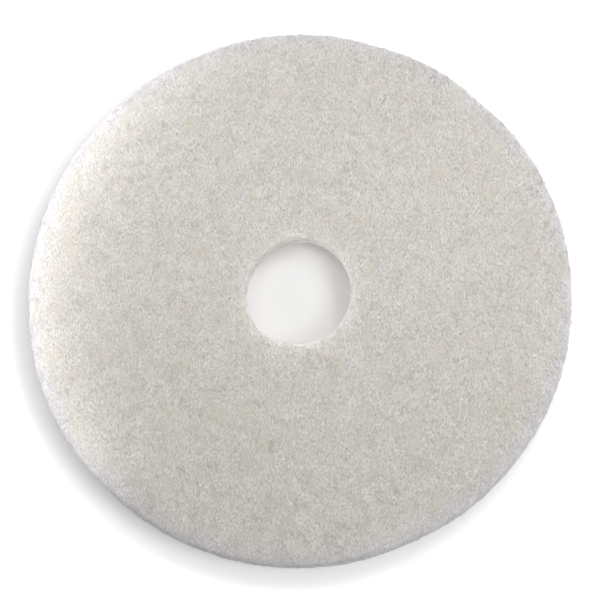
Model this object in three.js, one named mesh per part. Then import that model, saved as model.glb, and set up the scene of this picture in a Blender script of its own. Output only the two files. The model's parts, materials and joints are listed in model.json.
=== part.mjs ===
// A floor polishing pad: one flat disc of bonded nonwoven fibre, die-cut from a thick web, with a
// round hole in its middle for the centring collar of a rotary floor machine's pad holder.
// Millimetres, +Z up. The pad lies flat: its lower face is at z = 0 and the hole's axis is Z.
// The web's machine direction, along which the fibres tend to lie, is Y.
import * as THREE from "three";

// Overall sizes: a 17 inch pad, 1 inch thick, with a 3 1/4 inch hole.
const PAD_DIAMETER = 432;
const PAD_THICKNESS = 25.4;
const HOLE_DIAMETER = 82.6;

// The die draws the web down as it shears it, so each cut edge is slightly rounded.
const RIM_EDGE_RADIUS = 2.4;
const HOLE_EDGE_RADIUS = 1.6;

// Where the shear left the springy rim a little short or proud of a true circle: the direction round
// the pad in degrees from +X, how far the rim lies outside (+) or inside (-), and how wide the place is.
const RIM_FLAWS = [
  { at: 46, offset: -1.6, width: 7 },
  { at: 73, offset: -1.1, width: 5 },
  { at: 94, offset: 0.8, width: 12 },
  { at: 200, offset: 0.6, width: 16 },
  { at: 293, offset: -1.1, width: 9 },
  { at: 338, offset: 0.8, width: 14 },
];

// Facets round the pad, and round each rounded edge.
const ROUND_STEPS = 144;
const EDGE_STEPS = 3;

// The points of a rounded corner, from one angle to another round its centre.
function roundedCorner(centreX, centreZ, radius, fromDegrees, toDegrees) {
  const points = [];
  for (let step = 0; step <= EDGE_STEPS; step += 1) {
    const angle = THREE.MathUtils.degToRad(
      THREE.MathUtils.lerp(fromDegrees, toDegrees, step / EDGE_STEPS),
    );
    points.push(
      new THREE.Vector2(centreX + radius * Math.cos(angle), centreZ + radius * Math.sin(angle)),
    );
  }
  return points;
}

// The pad's section, from the hole's wall to the rim: a flat slab with four rounded cut edges.
function padSection() {
  const rimX = PAD_DIAMETER / 2 - RIM_EDGE_RADIUS;
  const holeX = HOLE_DIAMETER / 2 + HOLE_EDGE_RADIUS;
  const rimTop = PAD_THICKNESS - RIM_EDGE_RADIUS;
  const holeTop = PAD_THICKNESS - HOLE_EDGE_RADIUS;
  const section = [
    ...roundedCorner(holeX, HOLE_EDGE_RADIUS, HOLE_EDGE_RADIUS, 180, 270),
    ...roundedCorner(rimX, RIM_EDGE_RADIUS, RIM_EDGE_RADIUS, 270, 360),
    ...roundedCorner(rimX, rimTop, RIM_EDGE_RADIUS, 0, 90),
    ...roundedCorner(holeX, holeTop, HOLE_EDGE_RADIUS, 90, 180),
  ];
  section.push(section[0].clone());
  return section;
}

// How far the rim lies off its true circle in a direction round the pad.
function rimOffset(degrees) {
  return RIM_FLAWS.reduce((sum, flaw) => {
    const apart = THREE.MathUtils.euclideanModulo(degrees - flaw.at + 180, 360) - 180;
    return sum + flaw.offset * Math.exp(-((apart / flaw.width) ** 2));
  }, 0);
}

// Moves the rim in or out by its flaws. The shift grows from nothing at the hole to its whole at the
// rim's edge, so the hole stays a true circle and both faces stay flat.
function shearRim(geometry) {
  const place = geometry.getAttribute("position");
  const holeRadius = HOLE_DIAMETER / 2 + HOLE_EDGE_RADIUS;
  const rimRadius = PAD_DIAMETER / 2 - RIM_EDGE_RADIUS;
  for (let i = 0; i < place.count; i += 1) {
    const x = place.getX(i);
    const y = place.getY(i);
    const radius = Math.hypot(x, y);
    const share = THREE.MathUtils.clamp((radius - holeRadius) / (rimRadius - holeRadius), 0, 1);
    const degrees = THREE.MathUtils.radToDeg(Math.atan2(y, x));
    const grown = (radius + share * rimOffset(degrees)) / radius;
    place.setXY(i, x * grown, y * grown);
  }
  geometry.computeVertexNormals();
  return geometry;
}

// LatheGeometry turns its section about Y, so the pad is tipped to lie with its axis along Z.
const padGeometry = shearRim(new THREE.LatheGeometry(padSection(), ROUND_STEPS).rotateX(Math.PI / 2));

const bondedFibre = new THREE.MeshStandardMaterial({
  color: 0xdedad4,
  roughness: 0.95,
  metalness: 0,
});

const polishingPad = new THREE.Mesh(padGeometry, bondedFibre);
polishingPad.name = "polishing_pad";

const pad = new THREE.Group();
pad.add(polishingPad);

export default pad;
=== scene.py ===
# A floor polishing pad, 17 inches across: one thick disc of bonded nonwoven fibre with a round hole at
# its middle. Metres, +Z up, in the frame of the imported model. The web's machine direction is Y.
import json
import math

import bpy
import numpy as np
from mathutils import Matrix, Vector, noise

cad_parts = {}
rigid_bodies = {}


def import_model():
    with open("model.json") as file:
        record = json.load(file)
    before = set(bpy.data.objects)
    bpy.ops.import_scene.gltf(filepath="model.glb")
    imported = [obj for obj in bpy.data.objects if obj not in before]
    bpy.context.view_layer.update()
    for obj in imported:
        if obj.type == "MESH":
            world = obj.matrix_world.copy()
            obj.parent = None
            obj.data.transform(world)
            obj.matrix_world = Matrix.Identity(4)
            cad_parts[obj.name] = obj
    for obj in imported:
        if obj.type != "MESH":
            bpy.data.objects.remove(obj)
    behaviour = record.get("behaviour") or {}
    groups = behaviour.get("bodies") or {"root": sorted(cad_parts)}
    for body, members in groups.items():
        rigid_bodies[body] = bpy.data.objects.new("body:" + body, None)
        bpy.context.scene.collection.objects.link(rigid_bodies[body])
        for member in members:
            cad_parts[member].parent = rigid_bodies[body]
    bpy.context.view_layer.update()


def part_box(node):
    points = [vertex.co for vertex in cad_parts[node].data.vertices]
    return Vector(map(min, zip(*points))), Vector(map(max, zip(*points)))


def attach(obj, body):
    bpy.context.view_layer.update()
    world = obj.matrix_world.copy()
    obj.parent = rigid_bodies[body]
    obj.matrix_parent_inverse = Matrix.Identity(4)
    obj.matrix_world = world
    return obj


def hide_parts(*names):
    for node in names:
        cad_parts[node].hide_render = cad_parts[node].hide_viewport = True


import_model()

# The camera. It looks down on the pad from high up on its near side and a little to the right, with a
# long lens, as in the photograph. The pad's middle lies just above the middle of the picture.
MM = 0.001
SIGHT_AZIMUTH = math.radians(12.7)
SIGHT_ELEVATION = math.radians(77.2)
SIGHT_DISTANCE = 1500 * MM
LENS_MM = 113.7
PAD_FOOT, PAD_TOP = (corner.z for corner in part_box("polishing_pad"))
AIM = Vector((1.4 * MM, -6.6 * MM, PAD_TOP))

towards_camera = Vector((
    math.sin(SIGHT_AZIMUTH) * math.cos(SIGHT_ELEVATION),
    -math.cos(SIGHT_AZIMUTH) * math.cos(SIGHT_ELEVATION),
    math.sin(SIGHT_ELEVATION),
))
picture_right = Vector((0, 1, 0)).cross(towards_camera).normalized()
picture_up = towards_camera.cross(picture_right)
camera = bpy.data.objects.new("camera", bpy.data.cameras.new("camera"))
camera.data.lens = LENS_MM
turned = Matrix((picture_right, picture_up, towards_camera)).transposed().to_4x4()
camera.matrix_world = Matrix.Translation(AIM + towards_camera * SIGHT_DISTANCE) @ turned
bpy.context.scene.collection.objects.link(camera)
bpy.context.scene.camera = camera
bpy.context.scene.view_settings.view_transform = "Standard"

# The web: crimped polyester fibres laid in flat layers, mostly along Y, needled together, sprayed with a
# clear binder and cured, then cut to a ring by a die. It is the whole pad, so it stands for the solid.
PAD_RADIUS = 216 * MM
HOLE_RADIUS = 41.3 * MM
RIM_EDGE_RADIUS = 2.4 * MM
HOLE_EDGE_RADIUS = 1.6 * MM
# The web's own skin lies this far inside the pad's outer size, which the fibres on it make up.
SKIN_DEPTH = 0.6 * MM
# Where a cut lies inside (-) or outside (+) its true circle, as the shear left it: the direction round
# the pad in degrees from +X, the offset in mm and the width in degrees.
RIM_FLAWS = (
    (46, -1.6, 7),
    (73, -1.1, 5),
    (94, 0.8, 12),
    (200, 0.6, 16),
    (293, -1.1, 9),
    (338, 0.8, 14),
    (342, 0.4, 0.7),
    (343.8, -1.0, 0.6),
)
# The hole was pulled out of round too, most of all on its far side, and its wall leans away from the
# axis a little, from the lip down to the foot.
HOLE_FLAWS = (
    (78, 3.0, 38),
    (222, 1.5, 16),
)
HOLE_FLARE = 1.3 * MM
HOLE_FADE = 6  # the higher, the closer to the hole its flaws die away in the two faces
CORNER_POINTS = 9
# The mesh's steps along the section and round the pad. The lower face lies on the floor, so it has fewer.
UPPER_STEP = 1.58 * MM
LOWER_STEP = 2.3 * MM
WANDER = 0.3  # how far a point strays from an even grid, as a share of the step
# Clumps of fibre that stand proud of the skin: across the lay, along it, through the thickness, height.
LARGE_CLUMP = (7.0 * MM, 12.0 * MM, 5.0 * MM, 0.2 * MM)
SMALL_CLUMP = (2.2 * MM, 3.8 * MM, 1.7 * MM, 0.3 * MM)
CUT_ROUGHER = 1.6  # the clumps stand this much prouder where the die cut
CLUMP_GAIN = 2.0  # noise seldom reaches half of its full height, so it is raised and then capped

chance = np.random.default_rng(seed=17)


def corner(radius, height, size, start, end):
    """Points of a rounded corner of the section as (distance from the axis, height, facing in degrees)."""
    facing = np.linspace(start, end, CORNER_POINTS)
    turn = np.radians(facing)
    return np.stack((radius + size * np.cos(turn), height + size * np.sin(turn), facing), 1)


inner, outer = HOLE_RADIUS + SKIN_DEPTH, PAD_RADIUS - SKIN_DEPTH
lower, upper = PAD_FOOT + SKIN_DEPTH, PAD_TOP - SKIN_DEPTH
section = np.concatenate((
    corner(inner + HOLE_EDGE_RADIUS, lower + HOLE_EDGE_RADIUS, HOLE_EDGE_RADIUS, 180, 270),
    corner(outer - RIM_EDGE_RADIUS, lower + RIM_EDGE_RADIUS, RIM_EDGE_RADIUS, 270, 360),
    corner(outer - RIM_EDGE_RADIUS, upper - RIM_EDGE_RADIUS, RIM_EDGE_RADIUS, 360, 450),
    corner(inner + HOLE_EDGE_RADIUS, upper - HOLE_EDGE_RADIUS, HOLE_EDGE_RADIUS, 450, 540),
))
section = np.concatenate((section, [(section[0, 0], section[0, 1], 540)]))
section_run = np.concatenate(((0,), np.cumsum(np.hypot(*np.diff(section[:, :2], axis=0).T))))
rim_first, rim_last = CORNER_POINTS, 3 * CORNER_POINTS - 1
lower_face_run = section_run[rim_first - 1], section_run[rim_first]
rim_run = section_run[rim_first], section_run[rim_last]
upper_face_run = section_run[rim_last], section_run[rim_last + 1]
hole_run = section_run[rim_last + 1], section_run[-1]


def flaw(angle, flaws):
    """How far a cut lies off its true circle, by its list of flaws."""
    total = np.zeros_like(angle)
    for at, offset, width in flaws:
        apart = (np.degrees(angle) - at + 180) % 360 - 180
        total += offset * MM * np.exp(-((apart / width) ** 2))
    return total


def clumps(places, size):
    """How far clumps of one size lift or sink the skin at some places."""
    *spans, height = size
    scaled = places / np.array(spans)
    values = [noise.noise(Vector(place)) for place in scaled.reshape(-1, 3)]
    return height * np.clip(np.array(values).reshape(places.shape[:-1]) * CLUMP_GAIN, -1, 1)


def on_web(run, angle, proud=0.0):
    """Places on the skin and the ways that it faces there, from how far along its section they are, the
    angle round the pad and how far they stand proud of it."""
    run = run % section_run[-1]
    radius = np.interp(run, section_run, section[:, 0])
    height = np.interp(run, section_run, section[:, 1])
    facing = np.radians(np.interp(run, section_run, section[:, 2]))
    share = np.clip((radius - inner) / (outer - inner), 0, 1)
    near_hole = (1 - share) ** HOLE_FADE
    radius = radius + share * flaw(angle, RIM_FLAWS) + near_hole * flaw(angle, HOLE_FLAWS)
    radius = radius + near_hole * HOLE_FLARE * (PAD_TOP - height) / (PAD_TOP - PAD_FOOT)
    level = np.stack((radius * np.cos(angle), radius * np.sin(angle), height), -1)
    outward = np.stack(
        (np.cos(facing) * np.cos(angle), np.cos(facing) * np.sin(angle), np.sin(facing)), -1
    )
    cut = 1 + (CUT_ROUGHER - 1) * np.abs(np.cos(facing))
    # The small clumps are taken a metre away, so that they don't follow the large ones.
    relief = cut * (clumps(level, LARGE_CLUMP) + clumps(level + 1, SMALL_CLUMP))
    places = level + outward * (relief + proud)[..., None]
    places[..., 2] = np.maximum(places[..., 2], PAD_FOOT)
    return places, outward


def mesh_step(run):
    """The size of the mesh's triangles at a place along the section."""
    return LOWER_STEP if lower_face_run[0] < run < lower_face_run[1] else UPPER_STEP


# Rings of points round the pad, each with as many as its length takes, joined up with triangles.
ring_runs = [0.0]
while ring_runs[-1] < section_run[-1] - 1.5 * UPPER_STEP:
    ring_runs.append(ring_runs[-1] + mesh_step(ring_runs[-1]))
ring_counts = []
all_runs = []
all_angles = []
for run in ring_runs:
    step = mesh_step(run)
    count = round(math.tau * np.interp(run, section_run, section[:, 0]) / step)
    ring_counts.append(count)
    all_runs.append(run + WANDER * step * chance.uniform(-1, 1, count))
    all_angles.append((np.arange(count) + WANDER * chance.uniform(-1, 1, count)) * math.tau / count)
web_places, _ = on_web(np.concatenate(all_runs), np.concatenate(all_angles))

web_faces = []
ring_starts = np.concatenate(((0,), np.cumsum(ring_counts)))
for ring, count in enumerate(ring_counts):
    after = (ring + 1) % len(ring_counts)
    start, next_start = int(ring_starts[ring]), int(ring_starts[after])
    next_count = ring_counts[after]
    here = there = 0
    while here < count or there < next_count:
        a, b = start + here % count, next_start + there % next_count
        if (here + 1) * next_count <= (there + 1) * count:
            here += 1
            web_faces.append((a, start + here % count, b))
        else:
            there += 1
            web_faces.append((a, next_start + there % next_count, b))

web_mesh = bpy.data.meshes.new("bonded_web")
web_mesh.from_pydata(web_places.tolist(), [], web_faces)
web_mesh.shade_smooth()
web = bpy.data.objects.new("bonded_web", web_mesh)
bpy.context.scene.collection.objects.link(web)


def linear(colour):
    """An sRGB hex colour as the linear colour that a shader takes."""
    channels = [int(colour[place:place + 2], 16) / 255 for place in (1, 3, 5)]
    return (*[c / 12.92 if c <= 0.04045 else ((c + 0.055) / 1.055) ** 2.4 for c in channels], 1)


def add_node(owner, kind, inputs=(), **settings):
    """Adds a node with its settings. Each input takes a value, or a link from another node's output."""
    tree = owner.node_tree
    node = tree.nodes.new(kind)
    for name, value in settings.items():
        setattr(node, name, value)
    for name, value in dict(inputs).items():
        if isinstance(value, bpy.types.NodeSocket):
            tree.links.new(value, node.inputs[name])
        else:
            node.inputs[name].default_value = value
    return node


# Polyester fibre bonded with a clear latex binder: dull off-white with a finely mottled look, because
# light is held in the gaps between the fibres, and a soft glow where it gets in at a cut edge.
FIBRE_WHITE = "#f2eeea"
GAP_GREY = "#bdb8b3"
BINDER_TINT = "#d8d4c4"  # faintly yellow, where more binder has gathered
POLYESTER_IOR = 1.57
BOND_ROUGHNESS = 0.75  # the binder dries matt
GLOW_DEPTH = 25 * MM  # how far light strays through the open web
# The pattern's sizes across the lay, along it and through the thickness. The real fibres are about
# 0.05 mm thick, too fine to show, so the strands are bundles of them. The patches hold more binder.
STRAND = (0.85 * MM, 2.0 * MM, 0.8 * MM)
STRAND_RELIEF = 0.6 * MM
PATCH = (9 * MM, 22 * MM, 9 * MM)
# The colour is painted a little cooler towards the rim, a painted glow that stands for light coming in
# through the edge of the web. One speck of dirt lies on the upper face.
PAINTED_RIM_GLOW_TINT = "#f4f5fe"
PAINTED_RIM_GLOW_DEPTH = 14 * MM
FLECK_GREY = "#8c877e"
FLECK_PLACE = (-40 * MM, 140 * MM, PAD_TOP)
FLECK_RADIUS = 1.3 * MM

bonded = bpy.data.materials.new("resin_bonded_polyester_web")
bonded.use_nodes = True
bonded.node_tree.nodes.clear()
coords = add_node(bonded, "ShaderNodeTexCoord").outputs["Object"]
strand_space = add_node(
    bonded, "ShaderNodeMapping", {"Vector": coords, "Scale": tuple(1 / s for s in STRAND)}
).outputs["Vector"]
strands = add_node(
    bonded,
    "ShaderNodeTexNoise",
    {"Vector": strand_space, "Scale": 1.0, "Detail": 2.0, "Roughness": 0.6, "Distortion": 1.0},
).outputs["Fac"]
patch_space = add_node(
    bonded, "ShaderNodeMapping", {"Vector": coords, "Scale": tuple(1 / s for s in PATCH)}
).outputs["Vector"]
patches = add_node(
    bonded, "ShaderNodeTexNoise", {"Vector": patch_space, "Scale": 1.0, "Detail": 1.0}
).outputs["Fac"]
strand_share = add_node(
    bonded,
    "ShaderNodeMapRange",
    {"Value": strands, "From Min": 0.3, "From Max": 0.7},
    interpolation_type="SMOOTHSTEP",
).outputs["Result"]
patch_share = add_node(
    bonded, "ShaderNodeMapRange", {"Value": patches, "From Min": 0.5, "From Max": 0.75, "To Max": 0.5}
).outputs["Result"]
mottled = add_node(
    bonded,
    "ShaderNodeMixRGB",
    {"Fac": strand_share, "Color1": linear(GAP_GREY), "Color2": linear(FIBRE_WHITE)},
).outputs["Color"]
tinted = add_node(
    bonded,
    "ShaderNodeMixRGB",
    {"Fac": patch_share, "Color1": mottled, "Color2": linear(BINDER_TINT)},
).outputs["Color"]


def painted_rim_glow_and_fleck(material, colour):
    """A colour of the web with a painted cool glow towards the pad's rim, which stands for light coming
    through its edge, and dark at the one speck of dirt.
    """
    place = add_node(material, "ShaderNodeTexCoord").outputs["Object"]
    flat = add_node(material, "ShaderNodeMapping", {"Vector": place, "Scale": (1, 1, 0)}).outputs["Vector"]
    from_axis = add_node(material, "ShaderNodeVectorMath", {0: flat}, operation="LENGTH").outputs["Value"]
    # Painted cool glow: a share that rises over the last few mm to the rim, for light coming through the
    # web's edge.
    painted_rim_glow_share = add_node(
        material,
        "ShaderNodeMapRange",
        {"Value": from_axis, "From Min": PAD_RADIUS - PAINTED_RIM_GLOW_DEPTH, "From Max": PAD_RADIUS},
    ).outputs["Result"]
    with_painted_rim_glow = add_node(
        material,
        "ShaderNodeMixRGB",
        {"Fac": painted_rim_glow_share, "Color1": colour, "Color2": linear(PAINTED_RIM_GLOW_TINT)},
        blend_type="MULTIPLY",
    ).outputs["Color"]
    from_fleck = add_node(
        material, "ShaderNodeVectorMath", {0: place, 1: FLECK_PLACE}, operation="DISTANCE"
    ).outputs["Value"]
    in_fleck = add_node(
        material,
        "ShaderNodeMapRange",
        {"Value": from_fleck, "From Min": FLECK_RADIUS, "From Max": FLECK_RADIUS / 2},
    ).outputs["Result"]
    return add_node(
        material,
        "ShaderNodeMixRGB",
        {"Fac": in_fleck, "Color1": with_painted_rim_glow, "Color2": linear(FLECK_GREY)},
    ).outputs["Color"]


bump = add_node(
    bonded, "ShaderNodeBump", {"Height": strands, "Strength": 0.8, "Distance": STRAND_RELIEF}
).outputs["Normal"]
bonded_shader = add_node(
    bonded,
    "ShaderNodeBsdfPrincipled",
    {
        "Base Color": painted_rim_glow_and_fleck(bonded, tinted),
        "Roughness": BOND_ROUGHNESS,
        "IOR": POLYESTER_IOR,
        "Specular IOR Level": 0.3,
        "Subsurface Weight": 1.0,
        "Subsurface Radius": (1.0, 1.0, 0.95),
        "Subsurface Scale": GLOW_DEPTH,
        "Normal": bump,
    },
)
add_node(bonded, "ShaderNodeOutputMaterial", {"Surface": bonded_shader.outputs["BSDF"]})
web_mesh.materials.append(bonded)
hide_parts("polishing_pad")
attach(web, "root")

# The surface fibres: crimped polyester, each tucked into the web at both ends and bonded where it crosses
# others. They lie flat, mostly along Y. A few have come loose at one end.
FIBRE_RADIUS = 0.22 * MM  # a bundle of real fibres, which are too fine to show one by one
THICKNESS_SPREAD = (0.7, 1.2)
FIBRE_LENGTH = 6.5 * MM
LENGTH_SPREAD = (0.5, 1.4)
CRIMP_HEIGHT = 0.7 * MM
CRIMP_SPREAD = (0.3, 1)
CRIMP_WAVES = (0.5, 1.3)  # waves of crimp along one fibre
ACROSS_SHARE, THROUGH_SHARE = 0.45, 0.18  # how much a fibre strays across the lay, and through it
BOW_HEIGHT = 0.8 * MM
BOW_SPREAD = (0.35, 1)
TUCK_DEPTH = 0.4 * MM
LOOSE_SHARE = 0.03
# Each fibre's points along it and corners round it, and the four lots of them.
BENDS = 4
SIDES = 3
FIBRE_LOTS = (
    ("upper_face_fibres", 16500, upper_face_run),
    ("lower_face_fibres", 12000, lower_face_run),
    ("rim_fibres", 9000, rim_run),
    ("hole_fibres", 900, hole_run),
)
SPARE_PLACES = 3  # this many places are drawn for each fibre, since not all of them are kept

# Polyester fibre, drawn and crimped: whiter and a little glossier than the bonded web under it, with
# light passing a short way through it. Its tone varies from fibre to fibre with the binder on it.
FIBRE_BRIGHT = "#f6f3ef"
FIBRE_DULL = "#cdc9c4"
FIBRE_ROUGHNESS = 0.55
FIBRE_GLOW_DEPTH = 0.8 * MM

crimped = bpy.data.materials.new("crimped_polyester_fibre")
crimped.use_nodes = True
crimped.node_tree.nodes.clear()
tone = add_node(crimped, "ShaderNodeAttribute", attribute_name="fibre_tone").outputs["Fac"]
toned = add_node(
    crimped,
    "ShaderNodeMixRGB",
    {"Fac": tone, "Color1": linear(FIBRE_DULL), "Color2": linear(FIBRE_BRIGHT)},
).outputs["Color"]
crimped_shader = add_node(
    crimped,
    "ShaderNodeBsdfPrincipled",
    {
        "Base Color": painted_rim_glow_and_fleck(crimped, toned),
        "Roughness": FIBRE_ROUGHNESS,
        "IOR": POLYESTER_IOR,
        "Specular IOR Level": 0.3,
        "Subsurface Weight": 0.6,
        "Subsurface Radius": (1.0, 1.0, 1.0),
        "Subsurface Scale": FIBRE_GLOW_DEPTH,
    },
)
add_node(crimped, "ShaderNodeOutputMaterial", {"Surface": crimped_shader.outputs["BSDF"]})


def fibre_lines(count, run_range):
    """The bends of fibres spread evenly over a stretch of the section, and the ways the skin faces."""
    wanted = SPARE_PLACES * count
    run = chance.uniform(*run_range, wanted)
    radius = np.interp(run, section_run, section[:, 0])
    # A ring near the axis is shorter, so fewer of the places on it are kept.
    kept = np.flatnonzero(chance.random(wanted) * radius.max() < radius)[:count]
    run, radius = run[kept], radius[kept]
    count = len(run)
    angle = chance.uniform(0, math.tau, count)
    facing = np.radians(np.interp(run, section_run, section[:, 2]))
    lay = chance.normal(0, 1, (count, 3)) * (ACROSS_SHARE, 1, THROUGH_SHARE)
    lay /= np.linalg.norm(lay, axis=1)[:, None]
    along = np.stack((-np.sin(facing) * np.cos(angle), -np.sin(facing) * np.sin(angle), np.cos(facing)), 1)
    around = np.stack((-np.sin(angle), np.cos(angle), np.zeros(count)), 1)
    reach = np.stack(((lay * along).sum(1), (lay * around).sum(1)), 1)
    length = FIBRE_LENGTH * chance.uniform(*LENGTH_SPREAD, count)
    place = np.linspace(-0.5, 0.5, BENDS)
    waves = chance.uniform(*CRIMP_WAVES, (count, 1))
    crimp = CRIMP_HEIGHT * chance.uniform(*CRIMP_SPREAD, (count, 1)) * np.sin(
        math.tau * (waves * place + chance.random((count, 1)))
    )
    forward = length[:, None] * place
    run_at = run[:, None] + forward * reach[:, :1] - crimp * reach[:, 1:]
    angle_at = angle[:, None] + (forward * reach[:, 1:] + crimp * reach[:, :1]) / radius[:, None]
    bow = BOW_HEIGHT * chance.uniform(*BOW_SPREAD, (count, 1)) * (1 - (2 * place) ** 2) - TUCK_DEPTH
    loose = chance.random(count) < LOOSE_SHARE
    bow[loose, -1] = BOW_HEIGHT
    return on_web(run_at, angle_at, bow)


def lay_fibres(name, count, run_range):
    """Makes one piece of crimped fibres, each a thin tube that is drawn to a point at both ends."""
    middle, outward = fibre_lines(count, run_range)
    count = len(middle)
    pull = np.gradient(middle, axis=1)
    pull /= np.linalg.norm(pull, axis=2)[..., None] + 1e-9
    sideways = np.cross(pull, outward)
    thick = FIBRE_RADIUS * chance.uniform(*THICKNESS_SPREAD, (count, 1, 1))
    corners = []
    for side in range(SIDES):
        turn = math.tau * side / SIDES
        away = math.cos(turn) * outward + math.sin(turn) * sideways
        corners.append(middle[:, 1:-1] + thick * away[:, 1:-1])
    rings = np.stack(corners, 2).reshape(count, -1, 3)
    places = np.concatenate((middle[:, :1], rings, middle[:, -1:]), 1)
    places[..., 2] = np.maximum(places[..., 2], PAD_FOOT)
    tip = (BENDS - 2) * SIDES + 1  # the number of the last point of a fibre, the first being 0
    faces = []
    for side in range(SIDES):
        after = (side + 1) % SIDES
        faces.append((0, 1 + after, 1 + side))
        faces.append((tip, tip - SIDES + side, tip - SIDES + after))
        for ring in range(BENDS - 3):
            a, b = 1 + ring * SIDES + side, 1 + ring * SIDES + after
            faces.append((a, b, b + SIDES))
            faces.append((a, b + SIDES, a + SIDES))
    all_faces = (np.array(faces)[None] + (np.arange(count) * (tip + 1))[:, None, None]).reshape(-1, 3)
    mesh = bpy.data.meshes.new(name)
    mesh.from_pydata(places.reshape(-1, 3).tolist(), [], all_faces.tolist())
    mesh.shade_smooth()
    shade = mesh.attributes.new("fibre_tone", "FLOAT", "POINT")
    shade.data.foreach_set("value", np.repeat(chance.random(count), tip + 1).astype(np.float32))
    mesh.materials.append(crimped)
    piece = bpy.data.objects.new(name, mesh)
    bpy.context.scene.collection.objects.link(piece)
    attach(piece, "root")


for lot in FIBRE_LOTS:
    lay_fibres(*lot)

# The studio: matt white paper under the pad and all round it, which takes the pad's soft shadow. Away
# from the pad it is shown as clean white, and from beneath it isn't there, so the pad can be seen.
PAPER_WHITE = "#eeeeee"
PAPER_LIFT = 0.7
# The glow that the camera sees on the paper is painted light: none near the pad, where the real shadow
# shows, growing to full from the first distance to the second, so the shadow fades out quickly.
LIFT_START, LIFT_END = 190 * MM, 260 * MM
PAPER_REACH = 3.0
PAPER_DROP = 0.1 * MM  # keeps the paper clear of the lowest fibres
WORLD_LIGHT = 0.33


def shown_itself(owner):
    """1 for the rays that show a thing itself, and 0 for those by which it lights the pad."""
    ray = add_node(owner, "ShaderNodeLightPath")
    direct = add_node(
        owner,
        "ShaderNodeMath",
        {0: ray.outputs["Is Camera Ray"], 1: ray.outputs["Is Glossy Ray"]},
        operation="MAXIMUM",
    ).outputs["Value"]
    return add_node(
        owner, "ShaderNodeMath", {0: direct, 1: ray.outputs["Is Transmission Ray"]}, operation="MAXIMUM"
    ).outputs["Value"]


paper = bpy.data.materials.new("white_paper")
paper.use_nodes = True
paper.node_tree.nodes.clear()
paper_place = add_node(paper, "ShaderNodeTexCoord").outputs["Object"]
from_pad = add_node(paper, "ShaderNodeVectorMath", {0: paper_place}, operation="LENGTH").outputs["Value"]
lift = add_node(
    paper,
    "ShaderNodeMapRange",
    {"Value": from_pad, "From Min": LIFT_START, "From Max": LIFT_END, "To Max": PAPER_LIFT},
).outputs["Result"]
lift_seen = add_node(
    paper, "ShaderNodeMath", {0: shown_itself(paper), 1: lift}, operation="MULTIPLY"
).outputs["Value"]
matt = add_node(paper, "ShaderNodeBsdfDiffuse", {"Color": linear(PAPER_WHITE)}).outputs["BSDF"]
glow = add_node(paper, "ShaderNodeEmission", {"Strength": lift_seen}).outputs["Emission"]
upper_side = add_node(paper, "ShaderNodeAddShader", {0: matt, 1: glow}).outputs["Shader"]
lower_side = add_node(paper, "ShaderNodeBsdfTransparent").outputs["BSDF"]
from_beneath = add_node(paper, "ShaderNodeNewGeometry").outputs["Backfacing"]
sheet = add_node(paper, "ShaderNodeMixShader", {0: from_beneath, 1: upper_side, 2: lower_side})
add_node(paper, "ShaderNodeOutputMaterial", {"Surface": sheet.outputs["Shader"]})
floor_mesh = bpy.data.meshes.new("floor")
floor_corners = [
    (PAPER_REACH * right, PAPER_REACH * ahead, -PAPER_DROP)
    for right, ahead in ((-1, -1), (1, -1), (1, 1), (-1, 1))
]
floor_mesh.from_pydata(floor_corners, [], [(0, 1, 2, 3)])
floor_mesh.materials.append(paper)
floor = bpy.data.objects.new("floor", floor_mesh)
bpy.context.scene.collection.objects.link(floor)

world = bpy.data.worlds.new("studio")
bpy.context.scene.world = world
world.use_nodes = True
world.node_tree.nodes.clear()
world_strength = add_node(
    world, "ShaderNodeMapRange", {"Value": shown_itself(world), "To Min": WORLD_LIGHT, "To Max": 1.0}
).outputs["Result"]
sky = add_node(world, "ShaderNodeBackground", {"Color": (1, 1, 1, 1), "Strength": world_strength})
add_node(world, "ShaderNodeOutputWorld", {"Surface": sky.outputs["Background"]})


def add_lamp(name, place, aim, size, watts):
    """Adds a soft white lamp that the camera doesn't see."""
    data = bpy.data.lights.new(name, "AREA")
    data.shape = "RECTANGLE"
    data.size, data.size_y = size
    data.energy = watts
    lamp = bpy.data.objects.new(name, data)
    lamp.location = place
    lamp.rotation_mode = "QUATERNION"
    lamp.rotation_quaternion = (Vector(place) - Vector(aim)).to_track_quat("Z", "Y")
    lamp.visible_camera = False
    bpy.context.scene.collection.objects.link(lamp)
    return lamp


# Three large lamps: the key from behind on the right, the fill from the right, and a small one over the
# far half of the pad. Each has a name, a place, what it is aimed at, a size and its watts.
LARGE_LAMPS = (
    ("key", (0.69, 0.69, 1.15), (0, 0, 0), (0.55, 0.55), 4.3),
    ("fill", (0.88, -0.44, 1.1), (0, 0, 0), (0.6, 0.6), 6.3),
    ("overhead", (0.02, 0.12, 0.45), (0.02, 0.12, 0), (0.6, 0.2), 0.8),
)
for lamp_row in LARGE_LAMPS:
    add_lamp(*lamp_row)

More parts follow.
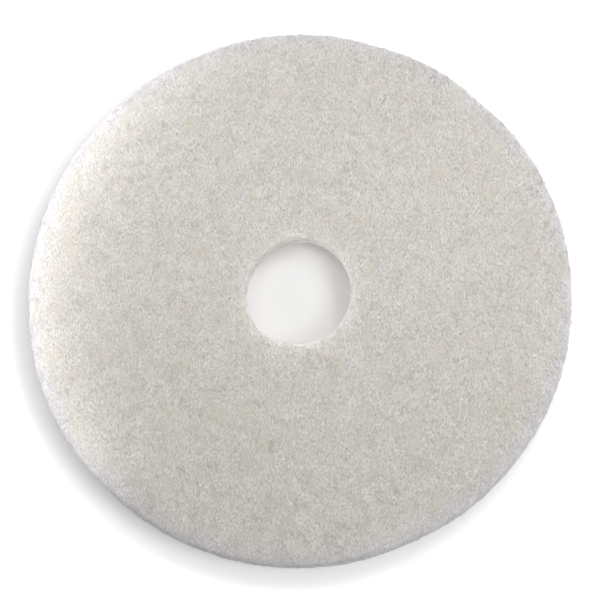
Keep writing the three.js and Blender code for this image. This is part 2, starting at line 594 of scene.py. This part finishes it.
# White cards round the pad and in its hole throw light on the cut edges, and others rake its left side
# from just over the rim. Weak lamps stand for them. They light the pad only, so that the paper keeps its
# shadow. One more lies under the pad, past the paper, for a look from beneath.
CARD_RING = 290 * MM
CARD_HEIGHT = 14 * MM
CARD_STEP = 20  # degrees
CARD_SIZE = (100 * MM, 20 * MM)
CARD_WATTS = 0.01
SHADED_FROM, SHADED_TO = 220, 320  # degrees, the near side, which is in shade in the photograph
SHADED_CARD_WATTS = 0.0015
RAKE_RING, RAKE_AIM_RING = 231 * MM, 190 * MM
RAKE_HEIGHT = 52 * MM
RAKE_SIZE = (90 * MM, 12 * MM)
# Directions in degrees from +X, and watts.
RAKE_LAMPS = ((101, 0.003), (122, 0.010), (144, 0.022), (166, 0.024), (188, 0.022), (212, 0.015))
HOLE_CARD = ("hole_card", (-0.02, 0.005, 0.006), (0.04, -0.012, 0.02), (0.02, 0.01), 0.014)
UNDER_CARD = ("under_card", (0, 0, -0.5), (0, 0, 0), (0.8, 0.8), 1.0)


def round_pad(radius, degrees, height):
    """A place at a distance from the hole's axis, a direction from +X and a height."""
    turn = math.radians(degrees)
    return Vector((radius * math.cos(turn), radius * math.sin(turn), height))


near_lamps = [add_lamp(*HOLE_CARD)]
for degrees in range(0, 360, CARD_STEP):
    place = round_pad(CARD_RING, degrees, CARD_HEIGHT)
    aim = round_pad(PAD_RADIUS, degrees, CARD_HEIGHT)
    watts = SHADED_CARD_WATTS if SHADED_FROM <= degrees <= SHADED_TO else CARD_WATTS
    near_lamps.append(add_lamp(f"card_{degrees}", place, aim, CARD_SIZE, watts))
for degrees, watts in RAKE_LAMPS:
    place = round_pad(RAKE_RING, degrees, RAKE_HEIGHT)
    aim = round_pad(RAKE_AIM_RING, degrees, PAD_TOP)
    near_lamps.append(add_lamp(f"rake_{degrees}", place, aim, RAKE_SIZE, watts))
under_card = add_lamp(*UNDER_CARD)
near_lamps.append(under_card)
pad_pieces = bpy.data.collections.new("pad_pieces")
for piece in bpy.context.scene.objects:
    if piece.type == "MESH" and piece != floor:
        pad_pieces.objects.link(piece)
for lamp in near_lamps:
    lamp.light_linking.receiver_collection = pad_pieces
# The paper doesn't shade the pad from the card under it.
under_card.light_linking.blocker_collection = pad_pieces
